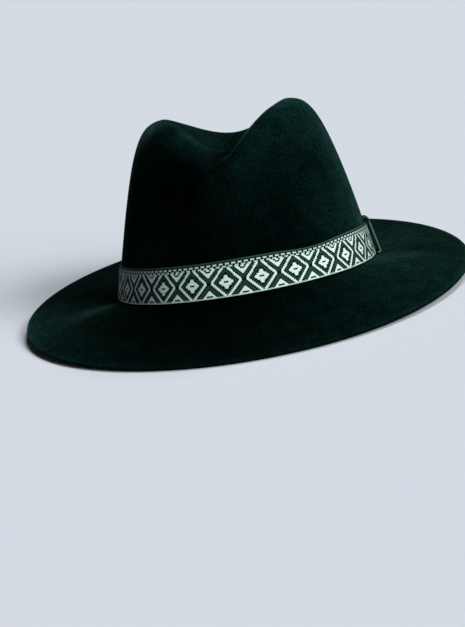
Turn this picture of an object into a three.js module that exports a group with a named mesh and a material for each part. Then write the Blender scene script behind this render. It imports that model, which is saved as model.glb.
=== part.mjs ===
// A pinch-front felt fedora: one felt body of crown and brim, a woven band and the band's keeper loop.
// Millimetres, +Z up. The front of the hat faces -Y and the hat stands on the plane z = 0.
import * as THREE from "three";

// Felt
const feltThickness = 2.3;

// Crown, outside of the felt, in the crown's own leaning frame with the band's lower edge near z = 0
const crownHalfWidth = 85.3;
const crownHalfDepth = 101.7;
const crownHeight = 110;
const crownFoot = -0.8;
const sideTaper = 20.7;
const endTaper = 14.6;
const noseNarrowing = 3.2;
const topSetBack = 7.8;
const topSideShift = 2.8;
const shoulderSharpness = 11.2;
const wallSharpness = 2.55;

// Where the crown stands on the brim
const crownLean = 6.25;
const crownRoll = 0.86;
const crownSideShift = 1.2;
const crownSetForward = 1.3;
const backBreakLift = -0.7;
const breakFillet = 1;

// Front pinches, one on each side of the nose
const pinchDepth = 18.8;
const pinchTurn = 38;
const pinchSpread = 23;
const noseShift = -3.5;

// Brim, outermost line of the cut edge
const brimHalfWidth = 147.9;
const brimHalfDepth = 162;
const brimBackRise = 9.4;
const brimEdgeRound = 0.7;
const brimEdgeSettle = 0.25;
const brimBow = 4;

// Woven band and keeper
const bandClearance = 0.3;
const bandThickness = 0.9;
const bandWidth = 21.5;
const bandFoot = crownFoot + breakFillet;
const bandEndGap = 0.6;
const keeperTurn = 94;
const keeperWidth = 20;
const keeperThickness = 1.3;
const keeperStand = 2.4;

// Mesh density
const feltColumns = 88;
const frontCrowding = 0.2;
const filletSteps = 2;
const bandColumns = 96;
const keeperColumns = 6;

// The long dent in the top. Along is a share of the crown's half depth, drop and depth are shares of
// its height, and half width is a share of its half width.
const creaseTable = [
  { along: -0.84, crestDrop: 0.3, halfWidth: 0.082, depth: 0.005 },
  { along: -0.45, crestDrop: 0.134, halfWidth: 0.251, depth: 0.155 },
  { along: -0.2, crestDrop: 0.035, halfWidth: 0.4, depth: 0.227 },
  { along: 0.08, crestDrop: 0, halfWidth: 0.49, depth: 0.256 },
  { along: 0.5, crestDrop: 0.018, halfWidth: 0.505, depth: 0.168 },
  { along: 0.92, crestDrop: 0.127, halfWidth: 0.352, depth: 0.027 },
];
const creaseReach = 2.5;
const creaseRoundness = 0.8;

// How strong the pinches are at each height, as shares of the crown's height and of the pinch depth.
const pinchTable = [
  { height: 0.2, strength: 0 },
  { height: 0.42, strength: 0.62 },
  { height: 0.64, strength: 1 },
  { height: 0.82, strength: 0.8 },
  { height: 1, strength: 0.55 },
];

// How far the brim bows up between crown and edge, as a share of the brim bow. Turn is a share of the
// half turn from the front to the back.
const brimTable = [
  { turn: 0, bow: 0.45 },
  { turn: 0.22, bow: 0.25 },
  { turn: 0.42, bow: 0.9 },
  { turn: 0.62, bow: 0.2 },
  { turn: 0.85, bow: -0.4 },
  { turn: 1, bow: -0.6 },
];

// Mesh rows: up the wall by height, over the top by radius, and out along the brim by width.
const wallRows = [0.08, 0.2, 0.33, 0.46, 0.59, 0.7, 0.79, 0.87];
const topRows = [0.885, 0.84, 0.78, 0.7, 0.61, 0.51, 0.41, 0.3, 0.19, 0.08];
const brimRows = [0.1, 0.24, 0.42, 0.62, 0.82, 1];

// Middle line of the keeper from its top end at the felt, over the band and down to the brim. Out is a
// share of the way from the band's inner face to the keeper's stand, and up is a share of the height
// of the band with the keeper's tape folded over it.
const keeperTable = [
  { out: 0, up: 1.01 },
  { out: 0.6, up: 1.015 },
  { out: 0.89, up: 0.968 },
  { out: 1, up: 0.866 },
  { out: 1.11, up: 0.465 },
  { out: 1.255, up: 0.112 },
  { out: 1.29, up: 0 },
];

const feltMaterial = new THREE.MeshStandardMaterial({ color: "#0f2b24", roughness: 0.95, metalness: 0 });
const bandMaterial = new THREE.MeshStandardMaterial({ color: "#7fa398", roughness: 0.85, metalness: 0 });
const keeperMaterial = new THREE.MeshStandardMaterial({ color: "#2c5549", roughness: 0.85, metalness: 0 });

// Smooth curve through one column of a table, with no overshoot between its rows.
function curveThrough(table, key, column, at) {
  const last = table.length - 1;
  const place = Math.min(Math.max(at, table[0][key]), table[last][key]);
  let row = 0;
  while (row < last - 1 && place > table[row + 1][key]) {
    row += 1;
  }
  const slopeOf = (i) => (table[i + 1][column] - table[i][column]) / (table[i + 1][key] - table[i][key]);
  const tangentOf = (i) => {
    if (i === 0) {
      return slopeOf(0);
    }
    if (i === last) {
      return slopeOf(last - 1);
    }
    const before = slopeOf(i - 1);
    const after = slopeOf(i);
    return before * after > 0 ? (2 * before * after) / (before + after) : 0;
  };
  const length = table[row + 1][key] - table[row][key];
  const t = (place - table[row][key]) / length;
  const start = table[row][column];
  const change = table[row + 1][column] - start;
  const startBend = tangentOf(row) * length - change;
  const endBend = tangentOf(row + 1) * length - change;
  return start + change * t + t * (1 - t) * ((1 - t) * startBend - t * endBend);
}

// Share by which the front pinches draw the felt towards the crown's axis.
function pinchAt(angle, heightShare) {
  const fromNose = angle - noseShift / crownHalfDepth;
  const turned = THREE.MathUtils.radToDeg(Math.atan2(Math.sin(fromNose), Math.cos(fromNose)));
  const rightPinch = Math.exp(-(((turned - pinchTurn) / pinchSpread) ** 2));
  const leftPinch = Math.exp(-(((turned + pinchTurn) / pinchSpread) ** 2));
  const strength = curveThrough(pinchTable, "height", "strength", heightShare);
  return (pinchDepth / crownHalfWidth) * (rightPinch + leftPinch) * strength;
}

// Point on the outside of the crown in the crown's frame. The undented crown is an oval dome; the pinches
// draw it in at the front, and the crease lowers the crests' middle.
function crownPoint(angle, radiusShare, heightShare) {
  const pinched = radiusShare * (1 - pinchAt(angle, heightShare));
  const halfWidth = (crownHalfWidth - sideTaper * heightShare) * pinched;
  const halfDepth = (crownHalfDepth - endTaper * heightShare) * pinched;
  const narrowing = 1 - (noseNarrowing / crownHalfWidth) * Math.cos(angle) * heightShare;
  const x = halfWidth * Math.sin(angle) * narrowing;
  const y = topSetBack * heightShare - halfDepth * Math.cos(angle);
  const along = y / crownHalfDepth;
  const drop = curveThrough(creaseTable, "along", "crestDrop", along);
  const halfCrease = curveThrough(creaseTable, "along", "halfWidth", along) * crownHalfWidth;
  const depth = curveThrough(creaseTable, "along", "depth", along);
  const reach = heightShare ** creaseReach;
  const towardNose = Math.min(Math.max(along / creaseTable[0].along, 0), 1);
  const across = Math.min(Math.abs(x - noseShift * towardNose) / halfCrease, 1);
  const hollow = (0.5 + 0.5 * Math.cos(Math.PI * across)) ** creaseRoundness;
  const z = crownHeight * heightShare * (1 - drop * reach) * (1 - depth * hollow * reach);
  return new THREE.Vector3(x + topSideShift * heightShare, y, z);
}

// Radius share that goes with a height share on the undented dome, and the other way round.
function radiusAtHeight(heightShare) {
  return (1 - heightShare ** wallSharpness) ** (1 / shoulderSharpness);
}

function heightAtRadius(radiusShare) {
  return (1 - radiusShare ** shoulderSharpness) ** (1 / wallSharpness);
}

// From the crown's leaning frame to the hat's frame. The crown's back foot sets how high it stands.
const lean = THREE.MathUtils.degToRad(crownLean);
const roll = THREE.MathUtils.degToRad(crownRoll);
const crownRaise = crownHalfDepth * Math.sin(lean) + feltThickness + backBreakLift - crownFoot;
const crownPlace = new THREE.Matrix4()
  .makeTranslation(crownSideShift, -crownSetForward, crownRaise)
  .multiply(new THREE.Matrix4().makeRotationX(-lean))
  .multiply(new THREE.Matrix4().makeRotationY(-roll));

// Point on the wall near the band: height in the crown's frame and distance out from the felt. Below
// height 0 the wall goes straight down.
function wallPoint(angle, up, out) {
  const heightShare = Math.max(up, 0) / crownHeight;
  const point = crownPoint(angle, radiusAtHeight(heightShare), heightShare);
  point.z = up;
  const outward = new THREE.Vector3(point.x / crownHalfWidth ** 2, point.y / crownHalfDepth ** 2, 0);
  return point.addScaledVector(outward.normalize(), out).applyMatrix4(crownPlace);
}

// Upper corner of the cut edge of the brim.
function brimEdge(angle) {
  const rise = (brimBackRise * (1 - Math.cos(angle))) / 2;
  return new THREE.Vector3(
    (brimHalfWidth - brimEdgeRound) * Math.sin(angle),
    -(brimHalfDepth - brimEdgeRound) * Math.cos(angle),
    rise + feltThickness - brimEdgeSettle
  );
}

// Point on the top of the brim, from the crown's foot at 0 to the edge at 1.
function brimPoint(angle, share) {
  const foot = wallPoint(angle, crownFoot, 0);
  const point = foot.clone().lerp(brimEdge(angle), share);
  const turn = Math.abs(Math.atan2(Math.sin(angle), Math.cos(angle))) / Math.PI;
  const bow = curveThrough(brimTable, "turn", "bow", turn) * brimBow;
  point.z += bow * 4 * share * (1 - share);
  return point;
}

// Rows of the felt's outside from the top of the crown to the edge of the brim, without the pole.
function feltOutsideRows(angle) {
  const rows = [];
  for (const radius of [...topRows].reverse()) {
    rows.push(crownPoint(angle, radius, heightAtRadius(radius)).applyMatrix4(crownPlace));
  }
  for (const height of [...wallRows].reverse()) {
    rows.push(crownPoint(angle, radiusAtHeight(height), height).applyMatrix4(crownPlace));
  }
  const foot = wallPoint(angle, crownFoot, 0);
  const wallEnd = wallPoint(angle, crownFoot + breakFillet, 0);
  const brimStart = brimPoint(angle, breakFillet / foot.distanceTo(brimEdge(angle)));
  const fillet = new THREE.QuadraticBezierCurve3(wallEnd, foot, brimStart);
  rows.push(...fillet.getPoints(filletSteps));
  for (const share of brimRows) {
    rows.push(brimPoint(angle, share));
  }
  return rows;
}

function columnAngle(column) {
  const turn = (2 * Math.PI * column) / feltColumns;
  return turn - frontCrowding * Math.sin(turn);
}

// Closed ring strips between rows of vertices that each hold the same number of columns.
function ringIndices(rows, columns, firstRow, outwards) {
  const indices = [];
  for (let row = 0; row < rows - 1; row += 1) {
    for (let column = 0; column < columns; column += 1) {
      const next = (column + 1) % columns;
      const a = (firstRow + row) * columns + column;
      const b = (firstRow + row) * columns + next;
      const c = (firstRow + row + 1) * columns + next;
      const d = (firstRow + row + 1) * columns + column;
      indices.push(...(outwards ? [a, d, c, a, c, b] : [a, c, d, a, b, c]));
    }
  }
  return indices;
}

function fanIndices(pole, firstVertex, columns, outwards) {
  const indices = [];
  for (let column = 0; column < columns; column += 1) {
    const a = firstVertex + column;
    const b = firstVertex + ((column + 1) % columns);
    indices.push(...(outwards ? [pole, a, b] : [pole, b, a]));
  }
  return indices;
}

// The felt body: its outside, the same surface one thickness in, and the cut edge that joins them.
// Where it would go below z = 0, the felt lies flat on the plane that it stands on.
function feltGeometry() {
  const columns = [];
  for (let column = 0; column < feltColumns; column += 1) {
    columns.push(feltOutsideRows(columnAngle(column)));
  }
  const rowCount = columns[0].length;
  const outside = [];
  for (let row = 0; row < rowCount; row += 1) {
    for (let column = 0; column < feltColumns; column += 1) {
      outside.push(columns[column][row]);
    }
  }
  const pole = crownPoint(0, 0, 1).applyMatrix4(crownPlace);
  outside.push(pole);
  const poleIndex = outside.length - 1;
  const outsideGeometry = new THREE.BufferGeometry().setFromPoints(outside);
  const outsideIndices = [
    ...fanIndices(poleIndex, 0, feltColumns, true),
    ...ringIndices(rowCount, feltColumns, 0, true),
  ];
  outsideGeometry.setIndex(outsideIndices);
  outsideGeometry.computeVertexNormals();
  const normals = outsideGeometry.getAttribute("normal");
  const inside = outside.map((point, i) => {
    const normal = new THREE.Vector3().fromBufferAttribute(normals, i);
    const moved = point.clone().addScaledVector(normal, -feltThickness);
    moved.z = Math.max(moved.z, 0);
    return moved;
  });
  const edge = [];
  for (let column = 0; column < feltColumns; column += 1) {
    const last = (rowCount - 1) * feltColumns + column;
    const angle = columnAngle(column);
    const height = (outside[last].z + inside[last].z) / 2;
    edge.push(new THREE.Vector3(brimHalfWidth * Math.sin(angle), -brimHalfDepth * Math.cos(angle), height));
  }

  // Outside rows, then the edge row, then the inside rows from the edge back up to the crown
  const vertices = outside.slice(0, poleIndex);
  vertices.push(...edge);
  for (let row = rowCount - 1; row >= 0; row -= 1) {
    vertices.push(...inside.slice(row * feltColumns, (row + 1) * feltColumns));
  }
  const outerPole = vertices.length;
  vertices.push(pole, inside[poleIndex]);
  const indices = [
    ...fanIndices(outerPole, 0, feltColumns, true),
    ...ringIndices(2 * rowCount + 1, feltColumns, 0, true),
    ...fanIndices(outerPole + 1, 2 * rowCount * feltColumns, feltColumns, false),
  ];
  const geometry = new THREE.BufferGeometry().setFromPoints(vertices);
  geometry.setIndex(indices);
  return geometry;
}

// A closed solid from sections of equal length set one after the other along the band.
function sweptGeometry(sections) {
  const ring = sections[0].length;
  const vertices = sections.flat();
  const indices = [];
  for (let i = 0; i < sections.length - 1; i += 1) {
    for (let j = 0; j < ring; j += 1) {
      const next = (j + 1) % ring;
      const a = i * ring + j;
      const b = i * ring + next;
      indices.push(a, b, b + ring, a, b + ring, a + ring);
    }
  }
  const half = ring / 2;
  const lastStart = (sections.length - 1) * ring;
  for (let j = 0; j < half - 1; j += 1) {
    const across = ring - 1 - j;
    indices.push(j, across, j + 1, j + 1, across, across - 1);
    const cap = [j, j + 1, across, j + 1, across - 1, across];
    indices.push(...cap.map((vertex) => vertex + lastStart));
  }
  const geometry = new THREE.BufferGeometry().setFromPoints(vertices);
  geometry.setIndex(indices);
  return geometry;
}

// The band runs once round the crown from one end to the other, both under the keeper.
function bandGeometry() {
  const middle = THREE.MathUtils.degToRad(keeperTurn);
  const halfGap = bandEndGap / 2 / crownHalfDepth;
  const inner = bandClearance;
  const outer = bandClearance + bandThickness;
  const top = bandFoot + bandWidth;
  const sections = [];
  for (let i = 0; i <= bandColumns; i += 1) {
    const angle = middle + halfGap + ((2 * Math.PI - 2 * halfGap) * i) / bandColumns;
    sections.push([
      wallPoint(angle, bandFoot, inner),
      wallPoint(angle, top, inner),
      wallPoint(angle, top, outer),
      wallPoint(angle, bandFoot, outer),
    ]);
  }
  return sweptGeometry(sections);
}

// The keeper is a loop of doubled tape that stands off the band, from the felt above it to the brim.
function keeperGeometry() {
  const middle = THREE.MathUtils.degToRad(keeperTurn);
  const halfTurn = keeperWidth / 2 / crownHalfDepth;
  const half = keeperThickness / 2;
  const reach = bandThickness + keeperStand;
  const height = bandWidth + bandClearance + keeperThickness;
  const line = keeperTable.map(
    (row) => new THREE.Vector2(bandClearance + reach * row.out, bandFoot + height * row.up)
  );
  const last = line.length - 1;
  const sides = line.map((point, i) => {
    const before = line[Math.max(i - 1, 0)];
    const after = line[Math.min(i + 1, last)];
    const direction = after.clone().sub(before).normalize();
    const normal = new THREE.Vector2(-direction.y, direction.x);
    return [point.clone().addScaledVector(normal, half), point.clone().addScaledVector(normal, -half)];
  });
  const outline = [...sides.map((pair) => pair[0]), ...sides.map((pair) => pair[1]).reverse()];
  const sections = [];
  for (let i = 0; i <= keeperColumns; i += 1) {
    const angle = middle - halfTurn + (2 * halfTurn * i) / keeperColumns;
    sections.push(outline.map((point) => wallPoint(angle, point.y, point.x)));
  }
  return sweptGeometry(sections);
}

function namedMesh(name, geometry, material) {
  const mesh = new THREE.Mesh(geometry, material);
  mesh.name = name;
  return mesh;
}

const fedora = new THREE.Group();
fedora.add(namedMesh("felt_body", feltGeometry(), feltMaterial));
fedora.add(namedMesh("hat_band", bandGeometry(), bandMaterial));
fedora.add(namedMesh("band_keeper", keeperGeometry(), keeperMaterial));

export default fedora;
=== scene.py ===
import math

import bpy
import numpy as np
from mathutils import Matrix, Vector


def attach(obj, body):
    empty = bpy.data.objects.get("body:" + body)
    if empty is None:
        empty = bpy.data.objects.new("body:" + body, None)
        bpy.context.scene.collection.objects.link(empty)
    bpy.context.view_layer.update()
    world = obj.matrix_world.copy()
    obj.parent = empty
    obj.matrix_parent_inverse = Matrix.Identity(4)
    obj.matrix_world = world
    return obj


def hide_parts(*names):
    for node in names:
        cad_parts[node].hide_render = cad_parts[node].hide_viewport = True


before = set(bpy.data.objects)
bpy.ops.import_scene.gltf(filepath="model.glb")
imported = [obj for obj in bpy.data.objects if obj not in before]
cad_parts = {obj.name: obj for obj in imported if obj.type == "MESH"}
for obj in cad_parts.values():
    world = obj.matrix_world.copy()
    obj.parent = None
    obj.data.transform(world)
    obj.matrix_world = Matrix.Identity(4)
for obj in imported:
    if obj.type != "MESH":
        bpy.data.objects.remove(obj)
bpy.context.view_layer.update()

# A pinch-front felt fedora with a jacquard ribbon, lying on its brim. Shapes are worked out in
# millimetres in the hat's own frame, front towards -Y, and turned to metres when the mesh is made.
mm = 0.001
print("frame loaded")


def linearColour(hexColour):
    # sRGB hex to linear light: c/12.92 below 0.04045, else ((c+0.055)/1.055)^2.4
    channels = [int(hexColour[i:i + 2], 16) / 255 for i in (1, 3, 5)]
    return [c / 12.92 if c <= 0.04045 else ((c + 0.055) / 1.055) ** 2.4 for c in channels] + [1]


def addNode(material, kind, inputs=None, **settings):
    # one node with its settings; an input is a plain value or the output socket that feeds it
    tree = material.node_tree
    node = tree.nodes.new(kind)
    for name, value in settings.items():
        setattr(node, name, value)
    for name, value in (inputs or {}).items():
        if isinstance(value, bpy.types.NodeSocket):
            tree.links.new(value, node.inputs[name])
        else:
            node.inputs[name].default_value = value
    return node


def newMaterial(name):
    # a material with no nodes yet
    material = bpy.data.materials.new(name)
    material.use_nodes = True
    material.node_tree.nodes.clear()
    return material


def mixColour(material, share, first, second, blend="MIX"):
    # the first colour turned by a share towards the second; 6 and 7 are the node's colour inputs
    node = addNode(material, "ShaderNodeMix", {0: share, 6: first, 7: second},
                   data_type="RGBA", blend_type=blend)
    return node.outputs[2]


def scaleColour(material, colour, factor):
    # the colour times the factor
    node = addNode(material, "ShaderNodeVectorMath", {0: colour, "Scale": factor}, operation="SCALE")
    return node.outputs["Vector"]


def maths(material, operation, *values):
    # the result of one sum, product or the like
    return addNode(material, "ShaderNodeMath", dict(enumerate(values)), operation=operation).outputs[0]


def mapRange(material, value, before, after=(0.0, 1.0)):
    # straight from one span of values to another, and level beyond its ends
    return addNode(material, "ShaderNodeMapRange",
                   {"Value": value, "From Min": before[0], "From Max": before[1],
                    "To Min": after[0], "To Max": after[1]}).outputs[0]


def patternScale(size):
    # noise whose patches are about this many mm wide
    return 1 / (size * mm)


def waveScale(spacing):
    # Blender's band wave repeats every pi/10 divided by its scale
    return math.pi / 10 / (spacing * mm)


def finishMaterial(material, shader):
    # the shader becomes the material's surface
    addNode(material, "ShaderNodeOutputMaterial", {"Surface": shader.outputs["BSDF"]})
    return material


def meshPiece(name, points, quads, otherFaces, material):
    # points in mm as one array, quads as an array of vertex numbers, other faces as lists of them
    mesh = bpy.data.meshes.new(name)
    mesh.from_pydata((points * mm).tolist(), [], quads.tolist() + otherFaces)
    mesh.polygons.foreach_set("use_smooth", np.ones(len(mesh.polygons), dtype=bool))
    mesh.materials.append(material)
    mesh.update()
    piece = bpy.data.objects.new(name, mesh)
    bpy.context.scene.collection.objects.link(piece)
    return piece


def ringQuads(rows, columns):
    # quads between neighbouring rows of a grid whose rows are closed rings
    row = np.arange(rows - 1)[:, None]
    column = np.arange(columns)[None, :]
    after = (column + 1) % columns
    corners = [row * columns + column, (row + 1) * columns + column,
               (row + 1) * columns + after, row * columns + after]
    return np.stack([c.ravel() for c in corners], axis=1)


def lengthAlong(line):
    # distance from the line's first point to each of its points, summed over its steps
    return np.concatenate([[0], np.cumsum(np.linalg.norm(np.diff(line, axis=0), axis=1))])


def curveThrough(table, column, at):
    # monotone cubic through a table's rows: inner tangents are harmonic means of the slopes on
    # each side, end tangents are the end slopes, and it stays level beyond the ends
    places, values = table[:, 0], table[:, column]
    length, change = np.diff(places), np.diff(values)
    slopes = change / length
    product = slopes[:-1] * slopes[1:]
    total = np.where(product > 0, slopes[:-1] + slopes[1:], 1)
    tangents = np.concatenate([slopes[:1], np.where(product > 0, 2 * product / total, 0), slopes[-1:]])
    at = np.clip(at, places[0], places[-1])
    row = np.clip(np.searchsorted(places, at, side="right") - 1, 0, len(places) - 2)
    t = (at - places[row]) / length[row]
    startBend = tangents[row] * length[row] - change[row]
    endBend = tangents[row + 1] * length[row] - change[row]
    return values[row] + change[row] * t + t * (1 - t) * ((1 - t) * startBend - t * endBend)


camera = {
    "target": (0, -0.07, 4.71),     # mm, the point that the lens axis goes through
    "distance": 1000,
    "azimuth": 5.69,                # degrees from the front towards the wearer's left
    "elevation": 13.53,
    "roll": 9.71,                   # the hat is tipped in the photo; here the camera is instead
    "focalPixels": 1501,
    "axisPixel": (247.66, 286.14),  # where the lens axis meets the picture
    "picture": (465, 627),
}


def makeCamera(c):
    # the camera stands back from its target; its level and upright directions are turned by the roll
    azimuth, elevation, roll = (math.radians(c[k]) for k in ("azimuth", "elevation", "roll"))
    back = Vector((math.sin(azimuth) * math.cos(elevation),
                   -math.cos(azimuth) * math.cos(elevation), math.sin(elevation)))
    level = Vector((math.cos(azimuth), math.sin(azimuth), 0))
    upright = back.cross(level)
    right = level * math.cos(roll) - upright * math.sin(roll)
    up = level * math.sin(roll) + upright * math.cos(roll)
    place = (Vector(c["target"]) + back * c["distance"]) * mm
    lens = bpy.data.cameras.new("photoCamera")
    longSide = max(c["picture"])
    lens.lens = c["focalPixels"] / longSide * lens.sensor_width
    lens.shift_x = (c["picture"][0] / 2 - c["axisPixel"][0]) / longSide
    lens.shift_y = (c["axisPixel"][1] - c["picture"][1] / 2) / longSide
    shooter = bpy.data.objects.new("photoCamera", lens)
    shooter.matrix_world = Matrix((
        (right.x, up.x, back.x, place.x),
        (right.y, up.y, back.y, place.y),
        (right.z, up.z, back.z, place.z),
        (0, 0, 0, 1)))
    bpy.context.scene.collection.objects.link(shooter)
    bpy.context.scene.camera = shooter


makeCamera(camera)
print("camera set")


# Felt crown and brim
felt = {
    "thickness": 2.3,
    "columns": 320,
    "crownRows": 92,
    "brimRows": 40,
    "edgeRows": 5,
    "filletPoints": 5,
    "insideStep": 2,      # the inside takes every second row of the outside
    "frontBunching": 0.2,     # share by which columns stand closer at the front
    "profileSteps": 4001,     # fine steps that even out the rows down the wall
}
crown = {
    "halfWidth": 85.3,
    "halfDepth": 101.7,
    "height": 110,
    "foot": -0.8,
    "sideTaper": 20.7,
    "endTaper": 14.6,
    "noseNarrowing": 3.2,
    "topSetBack": 7.8,
    "topSideShift": 2.8,
    "shoulderSharpness": 11.2,    # the exponents of the wall's superellipse
    "wallSharpness": 2.55,
    "lean": 6.25,         # degrees, the crown tips forward from the brim's plane
    "roll": 0.86,         # degrees
    "sideShift": 1.2,
    "setForward": 1.3,
    "backBreakLift": -0.7,
    "breakFillet": 1.0,
    "pinchDepth": 18.8,
    "pinchTurn": 38,      # degrees to each side of the nose
    "pinchSpread": 23,    # degrees
    "noseShift": -3.5,
    "creaseReach": 2.5,
    "creaseRoundness": 0.8,
}
brim = {
    "halfWidth": 147.9,
    "halfDepth": 162,
    "backRise": 9.4,
    "edgeRound": 0.7,
    "edgeSquareness": 0.4,    # 0.5 is a half round, less is squarer
    "edgeSettle": 0.25,
    "bow": 4,
}
# along as a share of half depth, drop of the crests, half width, depth of the crease
creaseTable = np.array([
    (-0.84, 0.300, 0.082, 0.005),
    (-0.45, 0.134, 0.251, 0.155),
    (-0.20, 0.035, 0.400, 0.227),
    (0.08, 0.000, 0.490, 0.256),
    (0.50, 0.018, 0.505, 0.168),
    (0.92, 0.127, 0.352, 0.027),
])
# height as a share of the crown's, share of the pinch's depth
pinchTable = np.array([(0.2, 0), (0.42, 0.62), (0.64, 1), (0.82, 0.8), (1, 0.55)])
# share of the half turn from the front to the back, share of the brim's bow
brimTable = np.array([(0, 0.45), (0.22, 0.25), (0.42, 0.9), (0.62, 0.2), (0.85, -0.4), (1, -0.6)])
# How light the felt is drawn, set while comparing brightness with the photo: partly the brushed nap's
# unevenness and partly painted light and shade, darker low on the wearer's right, round the nose and on
# the brim near the crown, lighter on the wearer's left and on the crests. Each row starts with the
# degrees round the hat from the front towards the wearer's left; then come its values at the heights or
# shares listed above it.
crownNapAndLightHeights = [0.35, 0.6, 0.8, 0.92, 1]    # of the crown's height
crownNapAndPaintedLightTable = np.array([
    (-180, 0.90, 0.85, 0.85, 0.80, 0.75),
    (-125, 0.80, 0.75, 0.80, 0.90, 1.00),
    (-94, 0.35, 0.35, 0.45, 0.60, 0.75),
    (-67, 0.40, 0.40, 0.58, 0.90, 1.10),
    (-52, 0.36, 0.32, 0.34, 0.60, 0.95),
    (-40, 0.36, 0.30, 0.34, 1.20, 1.60),
    (-22, 0.28, 0.26, 0.33, 0.80, 0.90),
    (-12, 0.36, 0.46, 0.46, 0.55, 0.50),
    (0, 0.40, 0.54, 0.64, 0.24, 0.20),
    (8, 0.36, 0.60, 0.84, 0.46, 0.35),
    (30, 0.34, 0.50, 0.90, 1.15, 1.20),
    (60, 1.20, 0.95, 1.27, 1.50, 1.70),
    (78, 1.36, 1.10, 1.32, 1.55, 1.80),
    (113, 0.65, 0.70, 0.75, 0.75, 0.70),
    (180, 0.90, 0.85, 0.85, 0.80, 0.75),
])
brimNapAndLightShares = [0.15, 0.5, 0.88]              # of the brim's width, from the crown's foot
brimNapAndPaintedLightTable = np.array([
    (-180, 0.80, 0.85, 0.90),
    (-125, 0.60, 0.70, 0.80),
    (-94, 0.26, 0.26, 0.36),
    (-67, 0.34, 0.34, 0.70),
    (-52, 0.20, 0.38, 0.64),
    (-40, 0.12, 0.26, 0.78),
    (-22, 0.16, 0.24, 0.50),
    (0, 0.20, 0.28, 0.42),
    (30, 0.46, 0.62, 0.78),
    (60, 0.82, 1.20, 1.12),
    (78, 0.95, 0.95, 0.95),
    (92, 0.40, 0.38, 0.60),
    (105, 0.48, 0.55, 0.64),
    (180, 0.80, 0.85, 0.90),
])
edgeLightening = {"reach": 4.5, "lift": 0.7}    # mm in from the cut edge, and how much lighter it is there
# painted highlights: streaks along the brim's soft folds, where they catch the light; degrees round
# the hat, degrees wide, share of the brim's width at its middle, share that it spans, and how much
# lighter it is
paintedBrimHighlights = [(-66, 4.5, 0.30, 0.28, 2.4), (79, 5, 0.36, 0.28, 0.33)]

# the foot of the leaning crown's back is raised to one thickness, plus the lift, above the floor
leanTurn = math.radians(crown["lean"])
crownRaise = (crown["halfDepth"] * math.sin(leanTurn) + felt["thickness"]
              + crown["backBreakLift"] - crown["foot"])
crownPlace = np.array(Matrix.Translation((crown["sideShift"], -crown["setForward"], crownRaise))
                      @ Matrix.Rotation(-leanTurn, 4, "X")
                      @ Matrix.Rotation(-math.radians(crown["roll"]), 4, "Y"))


def placeCrown(points):
    # turns and moves points from the crown's leaning frame to the hat's
    return points @ crownPlace[:3, :3].T + crownPlace[:3, 3]


def crownPoint(angle, radius, height):
    # an oval dome drawn in by two Gaussian pinches beside the nose; the height is then lowered by
    # the crests' drop and by a cosine hollow that runs from the back to the nose
    c = crown
    fromNose = angle - c["noseShift"] / c["halfDepth"]
    turned = np.degrees(np.arctan2(np.sin(fromNose), np.cos(fromNose)))
    pinches = (np.exp(-((turned - c["pinchTurn"]) / c["pinchSpread"]) ** 2)
               + np.exp(-((turned + c["pinchTurn"]) / c["pinchSpread"]) ** 2))
    pinch = c["pinchDepth"] / c["halfWidth"] * pinches * curveThrough(pinchTable, 1, height)
    pinched = radius * (1 - pinch)
    narrowing = 1 - c["noseNarrowing"] / c["halfWidth"] * np.cos(angle) * height
    x = (c["halfWidth"] - c["sideTaper"] * height) * pinched * np.sin(angle) * narrowing
    y = c["topSetBack"] * height - (c["halfDepth"] - c["endTaper"] * height) * pinched * np.cos(angle)
    along = y / c["halfDepth"]
    reach = height ** c["creaseReach"]
    towardNose = np.clip(along / creaseTable[0, 0], 0, 1)
    halfCrease = curveThrough(creaseTable, 2, along) * c["halfWidth"]
    across = np.minimum(np.abs(x - c["noseShift"] * towardNose) / halfCrease, 1)
    hollow = (0.5 + 0.5 * np.cos(np.pi * across)) ** c["creaseRoundness"]
    z = (c["height"] * height * (1 - curveThrough(creaseTable, 1, along) * reach)
         * (1 - curveThrough(creaseTable, 3, along) * hollow * reach))
    return np.stack([x + c["topSideShift"] * height, y, z], axis=-1)


def radiusAt(height):
    # the superellipse (1 - h^n)^(1/m)
    return (1 - height ** crown["wallSharpness"]) ** (1 / crown["shoulderSharpness"])


def wallPoint(angle, up, out):
    # a point of the wall at a height in the crown's frame, moved out along the oval's normal
    height = np.maximum(up, 0) / crown["height"]
    point = crownPoint(angle, radiusAt(height), height)
    point[..., 2] = up
    outward = point * [crown["halfWidth"] ** -2, crown["halfDepth"] ** -2, 0]
    outward /= np.linalg.norm(outward, axis=-1, keepdims=True)
    return placeCrown(point + outward * np.asarray(out)[..., None])


def brimEdge(angle):
    # upper corner of the cut edge: an oval that rises by half a cosine towards the back
    rise = brim["backRise"] * (1 - np.cos(angle)) / 2
    return np.stack([(brim["halfWidth"] - brim["edgeRound"]) * np.sin(angle),
                     -(brim["halfDepth"] - brim["edgeRound"]) * np.cos(angle),
                     rise + felt["thickness"] - brim["edgeSettle"]], axis=-1)


def brimPoint(angle, share):
    # straight from the crown's foot to the edge, plus a parabola 4s(1-s) times the bow there
    foot = wallPoint(angle, np.full_like(angle, crown["foot"]), np.zeros_like(angle))
    point = foot + (brimEdge(angle) - foot) * share[..., None]
    turn = np.abs(np.arctan2(np.sin(angle), np.cos(angle))) / np.pi
    point[..., 2] += curveThrough(brimTable, 1, turn) * brim["bow"] * 4 * share * (1 - share)
    return point


def gridNormals(points):
    # cross product of the steps round the hat and the steps down the rows, made unit length
    around = np.roll(points, -1, axis=1) - np.roll(points, 1, axis=1)
    down = np.gradient(points, axis=0)
    normals = np.cross(down, around)
    return normals / np.linalg.norm(normals, axis=-1, keepdims=True)


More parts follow.
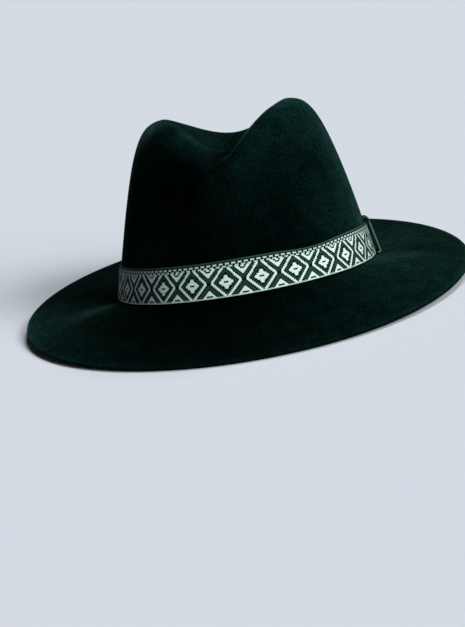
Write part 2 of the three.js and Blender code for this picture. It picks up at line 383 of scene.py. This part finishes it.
def feltGrid():
    # rows from the top of the crown out to the cut edge, one column for each direction; with them
    # the columns' directions, and each row's height on the crown and share of the brim's width
    turn = np.linspace(0, 2 * np.pi, felt["columns"], endpoint=False)
    angle = turn - felt["frontBunching"] * np.sin(turn)
    # superellipse: radius sin^(2/m), height cos^(2/n), spaced evenly along its length
    sweep = np.linspace(0, np.pi / 2, felt["profileSteps"])
    radius = np.sin(sweep) ** (2 / crown["shoulderSharpness"])
    height = np.abs(np.cos(sweep)) ** (2 / crown["wallSharpness"])
    length = lengthAlong(np.stack([radius * crown["halfDepth"], height * crown["height"]], axis=1))
    stops = np.linspace(0, length[-1], felt["crownRows"] + 1)[1:]
    radius, height = np.interp(stops, length, radius), np.interp(stops, length, height)
    angles, radii = np.meshgrid(angle, radius)
    crownRows = placeCrown(crownPoint(angles, radii, np.meshgrid(angle, height)[1]))
    wallEnd = wallPoint(angle, np.full_like(angle, crown["foot"] + crown["breakFillet"]),
                        np.zeros_like(angle))
    foot = wallPoint(angle, np.full_like(angle, crown["foot"]), np.zeros_like(angle))
    width = np.linalg.norm(brimEdge(angle) - foot, axis=-1)
    firstShare = crown["breakFillet"] / width
    brimStart = brimPoint(angle, firstShare)
    # the fillet is a parabola from the wall to the brim, drawn towards the foot
    t = np.linspace(0, 1, felt["filletPoints"])[:, None, None]
    fillet = (1 - t) ** 2 * wallEnd + 2 * t * (1 - t) * foot + t ** 2 * brimStart
    even = np.linspace(0, 1, felt["brimRows"] + 1)[1:]
    shares = firstShare + (1 - firstShare) * even[:, None]
    brimRows = brimPoint(np.broadcast_to(angle, shares.shape), shares)
    inFoot = np.zeros(len(fillet) - 1)
    level = np.concatenate([height, inFoot, 0 * even])
    share = np.concatenate([0 * height, inFoot, even])
    return angle, level, share, np.concatenate([crownRows, fillet[1:], brimRows])


def napAndLightAt(table, stops, turned, at):
    # a curve through the table for each direction, straight between its stops
    place = np.interp(at, stops, range(len(stops)))
    return sum(curveThrough(table, 1 + i, turned) * np.clip(1 - np.abs(place - i), 0, 1)
               for i in range(len(stops)))


def napAndPaintedLightGrid(angle, level, share):
    # the tables' nap and painted light and shade; the lightening near the cut edge fades in as a smooth
    # step, and each painted highlight streak is a Gaussian round and across the brim
    turned = np.degrees(np.arctan2(np.sin(angle), np.cos(angle)))
    onCrown = napAndLightAt(crownNapAndPaintedLightTable, crownNapAndLightHeights, turned, level)
    width = np.linalg.norm(brimEdge(angle) - wallPoint(angle, 0 * angle, 0 * angle), axis=-1)
    near = np.clip(1 - (1 - share) * width / edgeLightening["reach"], 0, 1)
    onBrim = (napAndLightAt(brimNapAndPaintedLightTable, brimNapAndLightShares, turned, share)
              * (1 + edgeLightening["lift"] * near ** 2 * (3 - 2 * near)))
    for middle, wide, at, span, lift in paintedBrimHighlights:
        onBrim = onBrim * (1 + lift * np.exp(-((turned - middle) / wide) ** 2
                                             - ((share - at) / span) ** 2))
    return np.where(level > 0, onCrown, onBrim)


def makeFelt(material):
    # one closed skin: the outside, the cut edge, the inside set in along the outside's normals, and
    # a fan of triangles at the top of each face
    angle, level, share, outside = feltGrid()
    pole = placeCrown(crownPoint(np.zeros(1), np.zeros(1), np.ones(1)))[0]
    normals = gridNormals(outside)
    inside = outside - normals * felt["thickness"]
    # the felt is flattened where it lies on the floor
    inside[..., 2] = np.maximum(inside[..., 2], 0)
    # the cut edge bulges by (4s(1-s))^squareness between the two faces, as shears leave it
    top, bottom = outside[-1], inside[-1]
    bulge = np.stack([np.sin(angle), -np.cos(angle), np.zeros_like(angle)], axis=-1)
    step = np.linspace(0, 1, felt["edgeRows"] + 2)[1:-1, None, None]
    rounding = brim["edgeRound"] * (4 * step * (1 - step)) ** brim["edgeSquareness"]
    edge = top + (bottom - top) * step + bulge * rounding
    insideRows = inside[::-1][::felt["insideStep"]]
    rows = np.concatenate([outside, edge, insideRows])
    poleInside = pole - [0, 0, felt["thickness"]]
    points = np.concatenate([rows.reshape(-1, 3), [pole, poleInside]])
    rowCount, columns = rows.shape[:2]
    quads = ringQuads(rowCount, columns)
    column = np.arange(columns)
    after = (column + 1) % columns
    poleNumber = rowCount * columns
    lastRow = (rowCount - 1) * columns
    fans = np.concatenate([
        np.stack([np.full(columns, poleNumber), column, after], axis=1),
        np.stack([np.full(columns, poleNumber + 1), lastRow + after, lastRow + column], axis=1)])
    piece = meshPiece("woolFeltBody", points, quads, fans.tolist(), material)
    # 1 on the cut edge, where the fibres stand out, and 0 elsewhere
    cut = np.zeros((rowCount, columns))
    cut[len(outside):len(outside) + felt["edgeRows"]] = 1
    attribute = piece.data.attributes.new("cutEdge", "FLOAT", "POINT")
    attribute.data.foreach_set("value", np.concatenate([cut.ravel(), [0, 0]]))
    # the inside is not brushed and gets no painted light or shade
    napAndLight = np.ones((rowCount, columns))
    napAndLight[:len(outside)] = napAndPaintedLightGrid(angle, level[:, None], share[:, None])
    attribute = piece.data.attributes.new("napAndPaintedLight", "FLOAT", "POINT")
    attribute.data.foreach_set("value", np.concatenate([napAndLight.ravel(), [napAndLight[0].mean(), 1]]))
    return piece


feltLook = {
    "tuft": 1.5,                      # mm wide
    "tuftNoise": (0.33, 0.67),        # the noise's span, and the lightness that it gives
    "tuftLight": (0.3, 1.7),
    "tuftRelief": 0.25,               # mm
    "patch": 12,
    "patchNoise": (0.3, 0.7),
    "patchLight": (0.68, 1.32),
    "dyePatch": 16,
    "dyes": ("#04170f", "#051116"),   # the two ends of the dye's unevenness
    "cutEdge": "#050f0e",
    # the nap's lightness below is the factor that also holds the painted light and shade
    "tipShare": 0.1,                  # sheen weight where the nap's lightness is 1
    "tips": "#94fce6",
}


def woolFeltMaterial():
    # Wool felt, blocked and brushed: the nap drinks the light, so the face is almost black green
    # and only lightens where the fibre tips are seen against the light. Fibres are about 0.03 mm
    # thick; they are drawn as wider tufts, about the finest that show, and the brush leaves paler
    # and darker patches.
    k = feltLook
    material = newMaterial("brushedWoolFelt")
    place = addNode(material, "ShaderNodeTexCoord").outputs["Object"]
    tufts = addNode(material, "ShaderNodeTexNoise",
                    {"Vector": place, "Scale": patternScale(k["tuft"]), "Detail": 4.0, "Roughness": 0.7})
    patches = addNode(material, "ShaderNodeTexNoise",
                      {"Vector": place, "Scale": patternScale(k["patch"]), "Detail": 3.0,
                       "Roughness": 0.6})
    dyes = addNode(material, "ShaderNodeTexNoise",
                   {"Vector": place, "Scale": patternScale(k["dyePatch"])})
    # painted light and shade: this factor, partly the nap's unevenness, scales both the colour and the
    # sheen
    napAndLightFactor = addNode(material, "ShaderNodeAttribute", attribute_name="napAndPaintedLight").outputs["Fac"]
    cut = addNode(material, "ShaderNodeAttribute", attribute_name="cutEdge").outputs["Fac"]
    grain = mapRange(material, tufts.outputs["Fac"], k["tuftNoise"], k["tuftLight"])
    patch = mapRange(material, patches.outputs["Fac"], k["patchNoise"], k["patchLight"])
    lift = maths(material, "MULTIPLY", maths(material, "MULTIPLY", grain, patch), napAndLightFactor)
    face = mixColour(material, dyes.outputs["Fac"], *(linearColour(dye) for dye in k["dyes"]))
    edged = mixColour(material, cut, face, linearColour(k["cutEdge"]))
    relief = addNode(material, "ShaderNodeBump",
                     {"Strength": 0.35, "Distance": k["tuftRelief"] * mm,
                      "Height": tufts.outputs["Fac"]})
    shader = addNode(material, "ShaderNodeBsdfPrincipled",
                     {"Base Color": scaleColour(material, edged, lift), "Roughness": 0.95,
                      "Specular IOR Level": 0.0,
                      "Sheen Weight": maths(material, "MULTIPLY", lift, k["tipShare"]),
                      "Sheen Roughness": 0.3, "Sheen Tint": linearColour(k["tips"]),
                      "Normal": relief.outputs["Normal"]})
    return finishMaterial(material, shader)


feltBody = makeFelt(woolFeltMaterial())
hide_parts("felt_body")
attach(feltBody, "root")
print("felt made")


# Ribbon band
ribbon = {
    "clearance": 0.3,
    "thickness": 0.9,
    "width": 21.5,
    "foot": 0.2,
    "endGap": 0.6,
    "keeperTurn": 94,       # degrees, where the two ends meet under the keeper
    "repeats": 27,          # diamonds once round the crown
    "repeatCells": 44,      # a cell is a bundle of threads about 0.5 mm wide
    "cellRows": 43,
    "firstCell": 32,        # slides the pattern along the ribbon
    "selvedgeRound": 0.25,
    "pathSteps": 6001,      # fine steps that even out the cells round the crown
    # where the upper edge was drawn down when the ribbon was put on: degrees round the hat, degrees
    # wide, and mm down
    "drawnDown": (36, 14, 2.0),
}
# painted shade on the ribbon, set like the felt's lightness: darker round the wearer's right and near
# the keeper; degrees round the hat, share of the full lightness
ribbonPaintedShadeTable = np.array([(-180, 0.9), (-120, 0.7), (-80, 0.36), (-62, 0.46), (-45, 0.6), (-22, 0.97),
                       (50, 0.97), (70, 0.74), (84, 0.5), (120, 0.7), (180, 0.9)])


def layUv(piece, places):
    # UV in metres on the cloth, one place for each vertex
    layer = piece.data.uv_layers.new(name="clothUv")
    corners = np.empty(len(piece.data.loops), dtype=np.int32)
    piece.data.loops.foreach_get("vertex_index", corners)
    layer.uv.foreach_set("vector", places[corners].astype(np.float32).ravel())


# The repeat, charted in cells along the ribbon and rows up it. In each repeat u is the
# distance from the diamond's middle, w from the cross between two diamonds, and lift from the middle
# row, in steps of two rows as the loom makes them.
pattern = {
    "middleRow": 18,
    "fieldTop": 35,                 # the border starts here
    # u of a lattice line at the middle row times its slope, the slope, and half the line's width
    "latticeAbove": (20.8, 1.13, 1.8),
    "latticeBelow": (18.4, 1, 2.05),
    "diamond": (9.2, 1.2),          # u at the middle row, slope
    "diamondTip": (1.8, 9),         # u, lift
    "diamondSide": 8.8,             # u in the two middle rows
    "diamondEye": 3.2,              # u in the two middle rows, left dark
    "topTriangle": 24.8,            # row of its lower tip
    "topGap": 1.5,                  # from the lattice lines
    "topEye": (3, 31, 33),          # w below the first, rows between the others
    "topNotch": (2, 4.6, 33),       # w between the first two, rows above the third
    "lowTriangle": 10.4,            # row of its upper tip
    "lowEye": (3.6, 2, 4),
    # the shadow round each figure reaches this far, measured as the figure is
    "latticeShadow": 2.4,
    "diamondShadow": 11.8,
    "topShadow": 22.6,
    "lowShadow": 12.4,
    "dashEvery": 8,
    "dashLength": 5,
    "tones": {"shadow": 0.0, "ground": 0.35, "float": 1.0},
    "lowEdge": (1, 2, 0.7),         # between two rows, the tone there at least
    # first and last row, tone, and how far its dashes are slid, if it has any
    "border": [(35, 43, 0.0, None), (38, 40, 0.88, 2.5), (35, 37, 0.85, 6.5), (40, 42, 0.15, None),
               (42, 43, 0.43, None)],
    "backTone": 0.12,
    "endTone": 0.2,
}


def ribbonTones(cells):
    # One tone for each cell, from 0 in the shadows to 1 on the off-white floats. Lattice lines are
    # where u is near a line that falls from the sides to the top and the bottom; the small diamond,
    # the triangles and the dashes are thresholds on sums of u, w and lift or row.
    p = pattern
    repeat = ribbon["repeatCells"]
    along, row = np.meshgrid(np.arange(cells) + ribbon["firstCell"] + 0.5,
                             np.arange(ribbon["cellRows"]) + 0.5)
    u = np.abs(along % repeat - repeat / 2)
    w = repeat / 2 - u
    lift = np.abs(np.floor(row / 2) * 2 + 1 - p["middleRow"])
    reach, slope, half = (np.where(row > p["middleRow"], above, below)
                          for above, below in zip(p["latticeAbove"], p["latticeBelow"]))
    off = u - (reach - lift) / slope
    inField = row < p["fieldTop"]
    middleRows = np.abs(row - p["middleRow"]) < 1
    lattice = (np.abs(off) < half) & inField
    side, steep = p["diamond"]
    tip, tipLift = p["diamondTip"]
    diamond = (u + steep * lift < side) | ((u < tip) & (lift < tipLift))
    diamond |= (u < p["diamondSide"]) & middleRows
    diamond &= ~((u < p["diamondEye"]) & middleRows)
    eye, low, high = p["topEye"]
    near, far, notchLow = p["topNotch"]
    topTriangle = (w < row - p["topTriangle"]) & inField & (off > half + p["topGap"])
    topTriangle &= ~((w < eye) & (row > low) & (row < high))
    topTriangle &= ~((w > near) & (w < far) & (row > notchLow))
    eye, low, high = p["lowEye"]
    lowTriangle = (w < p["lowTriangle"] - row) & ~((w < eye) & (row > low) & (row < high))
    shadow = (np.abs(off) < half + p["latticeShadow"]) | (u + lift < p["diamondShadow"])
    shadow |= (w < row - p["topShadow"]) | (w < p["lowShadow"] - row) | (row > p["fieldTop"] - 1)
    tones = np.where(shadow, p["tones"]["shadow"], p["tones"]["ground"])
    figures = lattice | diamond | topTriangle | lowTriangle | (row < 1)
    tones = np.where(figures, p["tones"]["float"], tones)
    low, high, least = p["lowEdge"]
    tones = np.where((row > low) & (row < high), np.maximum(tones, least), tones)
    for low, high, tone, slide in p["border"]:
        there = (row > low) & (row < high)
        if slide is not None:
            there &= (along + repeat / 2 + slide) % p["dashEvery"] < p["dashLength"]
        tones = np.where(there, tone, tones)
    return tones


def makeRibbon(material):
    # The section (outer face, rounded selvedges, inner face) is carried round the crown's wall in
    # steps of equal length, one step for each cell of the pattern.
    r = ribbon
    cells = r["repeats"] * r["repeatCells"]
    start = math.radians(r["keeperTurn"]) + r["endGap"] / 2 / crown["halfDepth"]
    fine = np.linspace(start, start + 2 * np.pi - r["endGap"] / crown["halfDepth"], r["pathSteps"])
    level = np.full_like(fine, r["foot"] + r["width"] / 2)
    path = wallPoint(fine, level, np.full_like(fine, r["clearance"] + r["thickness"]))
    length = lengthAlong(path)
    angle = np.interp(np.linspace(0, length[-1], cells + 1), length, fine)
    face = np.linspace(0, r["width"], r["cellRows"] + 1)
    outer = r["clearance"] + r["thickness"]
    out = np.concatenate([[outer - r["selvedgeRound"]], np.full(len(face) - 2, outer),
                          [outer - r["selvedgeRound"]], [r["clearance"]], [r["clearance"]]])
    up = r["foot"] + np.concatenate([face, [r["width"]], [0]])
    angles, ups = np.meshgrid(angle, up)
    # the upper edge comes down by a Gaussian round the hat, the rows below it by their height squared
    turn, wide, drop = r["drawnDown"]
    share = (ups - r["foot"]) / r["width"]
    ups = ups - drop * share ** 2 * np.exp(-((np.degrees(angles) - 360 - turn) / wide) ** 2)
    points = wallPoint(angles, ups, np.meshgrid(angle, out)[1])
    points = points.transpose(1, 0, 2)
    ring = len(up)
    endRing = np.arange(ring)
    ends = [endRing.tolist(), (endRing[::-1] + cells * ring).tolist()]
    piece = meshPiece("jacquardRibbon", points.reshape(-1, 3), ringQuads(cells + 1, ring), ends, material)
    tones = np.full((cells, ring), pattern["backTone"])
    tones[:, :r["cellRows"]] = ribbonTones(cells).T
    attribute = piece.data.attributes.new("threadTone", "FLOAT", "FACE")
    attribute.data.foreach_set("value", np.append(tones.ravel(), [pattern["endTone"]] * 2))
    # painted shade: a curve through the table, the same for every thread of one step round the hat
    turned = np.degrees(np.arctan2(np.sin(angle), np.cos(angle)))
    attribute = piece.data.attributes.new("ribbonPaintedShade", "FLOAT", "POINT")
    attribute.data.foreach_set("value", np.repeat(curveThrough(ribbonPaintedShadeTable, 1, turned), ring))
    along = np.repeat(np.linspace(0, length[-1], cells + 1), ring)
    across = np.tile(np.concatenate([face, [r["width"] + r["thickness"], -r["thickness"]]]), cells + 1)
    layUv(piece, np.stack([along, across + r["thickness"]], axis=1) * mm)
    print("ribbon length", round(float(length[-1]), 1), "mm")
    return piece, float(length[-1])


ribbonLook = {
    "shadow": "#020c0a",
    "ground": (0.35, "#23463c"),    # tone and its colour
    "between": (0.55, "#476f64"),
    "float": "#e6fff5",
    "ribSpacing": 0.5,              # mm
    "ribRelief": 0.08,
    "dust": 0.9,
    "dustShare": 0.2,
}


def ribbonMaterial():
    # Polyester ribbon, woven on a jacquard loom: off-white floats over a dark green ground, with
    # fine ribs across it where the weft passes. Real ribs are 0.3 mm apart; they are drawn 0.5 mm
    # apart, one for each cell of the pattern. The floats catch the light and give it a dry sheen.
    k = ribbonLook
    material = newMaterial("jacquardRibbonWeave")
    tone = addNode(material, "ShaderNodeAttribute", attribute_name="threadTone").outputs["Fac"]
    # painted shade round the hat, which scales the whole ribbon's colour
    paintedShade = addNode(material, "ShaderNodeAttribute", attribute_name="ribbonPaintedShade").outputs["Fac"]
    uv = addNode(material, "ShaderNodeUVMap", uv_map="clothUv").outputs["UV"]
    ramp = addNode(material, "ShaderNodeValToRGB", {"Fac": tone})
    stops = ramp.color_ramp.elements
    stops[0].color = linearColour(k["shadow"])
    stops[1].color = linearColour(k["float"])
    for place, colour in (k["ground"], k["between"]):
        stops.new(place).color = linearColour(colour)
    ribs = addNode(material, "ShaderNodeTexWave",
                   {"Vector": uv, "Scale": waveScale(k["ribSpacing"]), "Distortion": 0.6,
                    "Detail": 1.0, "Detail Scale": 4.0}, wave_type="BANDS", bands_direction="X")
    dust = addNode(material, "ShaderNodeTexNoise",
                   {"Vector": uv, "Scale": patternScale(k["dust"]), "Detail": 3.0})
    worn = mixColour(material, k["dustShare"], ramp.outputs["Color"], dust.outputs["Fac"], "MULTIPLY")
    relief = addNode(material, "ShaderNodeBump",
                     {"Strength": 0.4, "Distance": k["ribRelief"] * mm, "Height": ribs.outputs["Fac"]})
    shader = addNode(material, "ShaderNodeBsdfPrincipled",
                     {"Base Color": scaleColour(material, worn, paintedShade), "Roughness": 0.7,
                      "Specular IOR Level": 0.06, "Normal": relief.outputs["Normal"]})
    return finishMaterial(material, shader)


band, bandLength = makeRibbon(ribbonMaterial())
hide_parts("hat_band")
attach(band, "root")
print("ribbon made")


# Keeper loop over the ribbon's joint
keeper = {
    "width": 20,
    "thickness": 1.3,
    "stand": 2.4,
    "pathSteps": 72,
    "sideSteps": 6,
    "faceSteps": 24,
    "cornerCuts": 3,
    "cutShare": 0.25,
}
# out as a share of the way from the ribbon's inner face to the stand, up as a share of its height
keeperTable = np.array([(0, 1.01), (0.6, 1.015), (0.89, 0.968), (1, 0.866), (1.11, 0.465),
                        (1.25, 0.11), (1.27, 0.012), (0.6, 0.012)])


def makeKeeper(material):
    # The tape's section, two flat faces with half round sides, is carried along a path that runs
    # from the felt over the ribbon and down to the brim. The path's corners are cut a share of
    # each side away from them, several times over.
    k, r = keeper, ribbon
    reach = r["thickness"] + k["stand"]
    height = r["width"] + r["clearance"] + k["thickness"]
    line = keeperTable * [reach, height] + [r["clearance"], r["foot"]]
    q = k["cutShare"]
    for _ in range(k["cornerCuts"]):
        a, b = line[:-1], line[1:]
        cut = np.stack([a * (1 - q) + b * q, a * q + b * (1 - q)], axis=1).reshape(-1, 2)
        line = np.concatenate([line[:1], cut[1:-1], line[-1:]])
    length = lengthAlong(line)
    stops = np.linspace(0, length[-1], k["pathSteps"])
    path = np.stack([np.interp(stops, length, line[:, i]) for i in (0, 1)], axis=1)
    forward = np.gradient(path, axis=0)
    forward /= np.linalg.norm(forward, axis=1, keepdims=True)
    normal = np.stack([-forward[:, 1], forward[:, 0]], axis=1)
    h = k["thickness"] / 2
    turn = np.linspace(-np.pi / 2, np.pi / 2, k["sideSteps"] + 1)
    flat = np.linspace(-1, 1, k["faceSteps"] + 1)[1:-1] * (k["width"] / 2 - h)
    across = np.concatenate([flat, k["width"] / 2 - h + h * np.cos(turn), flat[::-1],
                             -(k["width"] / 2 - h) - h * np.cos(turn)])
    deep = np.concatenate([np.full(len(flat), -h), h * np.sin(turn), np.full(len(flat), h),
                           -h * np.sin(turn)])
    out = path[:, :1] + normal[:, :1] * deep
    up = path[:, 1:] + normal[:, 1:] * deep
    angle = math.radians(r["keeperTurn"]) + np.broadcast_to(across, out.shape) / crown["halfDepth"]
    points = wallPoint(angle, up, out)
    steps, ring = out.shape
    quads = ringQuads(steps, ring)[:, [0, 3, 2, 1]]    # turned over, so that they face outwards
    endRing = np.arange(ring)
    ends = [endRing[::-1].tolist(), (endRing + (steps - 1) * ring).tolist()]
    piece = meshPiece("ribbonKeeper", points.reshape(-1, 3), quads, ends, material)
    uv = np.stack([np.repeat(stops, ring), np.tile(across + k["width"] / 2, steps)], axis=1)
    layUv(piece, uv * mm)
    return piece


keeperLook = {
    # the first colour is painted shade in the grooves, the second the yarn on the ribs
    "ground": ("#06130f", "#122a23"),   # in the grooves and on the ribs
    "selvedge": "#64897e",
    "selvedgeReach": (0.28, 0.1),       # mm from the tape's side, where it starts and is full
    "topFold": (3.5, 6),                # mm along the tape, where the selvedge starts and is full
    "ribSpacing": 0.8,
    "ribRelief": 0.15,
}


def keeperMaterial():
    # The same yarn woven plain: dark green grosgrain with a paler selvedge along each side, but for
    # the top fold. The ribs lie across the tape and make its edge look finely toothed.
    k = keeperLook
    half = keeper["width"] / 2
    material = newMaterial("grosgrainTape")
    uv = addNode(material, "ShaderNodeUVMap", uv_map="clothUv").outputs["UV"]
    parts = addNode(material, "ShaderNodeSeparateXYZ", {"Vector": uv})
    fromMiddle = maths(material, "SUBTRACT", parts.outputs["Y"], half * mm)
    spread = maths(material, "ABSOLUTE", fromMiddle)
    selvedge = mapRange(material, spread, [(half - reach) * mm for reach in k["selvedgeReach"]])
    below = mapRange(material, parts.outputs["X"], [place * mm for place in k["topFold"]])
    pale = maths(material, "MULTIPLY", selvedge, below)
    ribs = addNode(material, "ShaderNodeTexWave", {"Vector": uv, "Scale": waveScale(k["ribSpacing"])},
                   wave_type="BANDS", bands_direction="X").outputs["Fac"]
    # painted shade: the grooves between the ribs are drawn darker than the ribs
    ground = mixColour(material, ribs, *(linearColour(tint) for tint in k["ground"]))
    colour = mixColour(material, pale, ground, linearColour(k["selvedge"]))
    relief = addNode(material, "ShaderNodeBump",
                     {"Strength": 0.6, "Distance": k["ribRelief"] * mm, "Height": ribs})
    shader = addNode(material, "ShaderNodeBsdfPrincipled",
                     {"Base Color": colour, "Roughness": 0.7, "Specular IOR Level": 0.1,
                      "Normal": relief.outputs["Normal"]})
    return finishMaterial(material, shader)


loop = makeKeeper(keeperMaterial())
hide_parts("band_keeper")
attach(loop, "root")
print("keeper made")


# Studio: a pale floor, a large soft key from the wearer's left and a back light over the crown
studio = {
    "floorColour": "#dfe6ef",
    "floorSize": 120000,
    "air": "#dfe6ee",
    "airStrength": 0.88,  # at the horizon, which is then as light as the floor
    "airHeight": 0.25,    # sine of the elevation where it has faded out
    "softness": 25,       # degrees that a softbox spans, seen from the hat
    "distance": 3200,
    # azimuth from the front towards the wearer's left, elevation, watts on a square metre
    "lights": [
        ("keySoftbox", 60, 32, 2.10),
        ("lowSoftbox", 45, 18, 0.84),
        ("backSoftbox", 160, 50, 1.83),
    ],
}


def makeStudio(s):
    # a floor, the air over it, and lights that shine from their azimuth and elevation to the hat
    half = s["floorSize"] / 2
    corners = np.array([(-half, -half, 0), (half, -half, 0), (half, half, 0), (-half, half, 0)])
    material = newMaterial("mattePaperFloor")
    shader = addNode(material, "ShaderNodeBsdfPrincipled",
                     {"Base Color": linearColour(s["floorColour"]), "Roughness": 0.9,
                      "Specular IOR Level": 0.1})
    finishMaterial(material, shader)
    meshPiece("studioFloor", corners, np.array([[0, 1, 2, 3]]), [], material)
    # the air is light along the horizon and fades upward as a smooth step
    world = bpy.data.worlds.new("studioAir")
    world.use_nodes = True
    world.node_tree.nodes.clear()
    place = addNode(world, "ShaderNodeTexCoord").outputs["Generated"]
    parts = addNode(world, "ShaderNodeSeparateXYZ", {"Vector": place})
    fade = addNode(world, "ShaderNodeMapRange",
                   {"Value": parts.outputs["Z"], "From Min": 0.0, "From Max": s["airHeight"],
                    "To Min": s["airStrength"], "To Max": 0.0}, interpolation_type="SMOOTHSTEP")
    air = addNode(world, "ShaderNodeBackground",
                  {"Color": linearColour(s["air"]), "Strength": fade.outputs[0]})
    addNode(world, "ShaderNodeOutputWorld", {"Surface": air.outputs["Background"]})
    bpy.context.scene.world = world
    for name, azimuth, elevation, power in s["lights"]:
        a, e = math.radians(azimuth), math.radians(elevation)
        away = Vector((math.sin(a) * math.cos(e), -math.cos(a) * math.cos(e), math.sin(e)))
        light = bpy.data.lights.new(name, "SUN")
        light.angle = math.radians(s["softness"])
        light.energy = power
        lamp = bpy.data.objects.new(name, light)
        lamp.location = away * s["distance"] * mm
        lamp.rotation_euler = away.to_track_quat("Z", "Y").to_euler()
        bpy.context.scene.collection.objects.link(lamp)


makeStudio(studio)
bpy.context.scene.view_settings.view_transform = "Standard"
print("studio made")
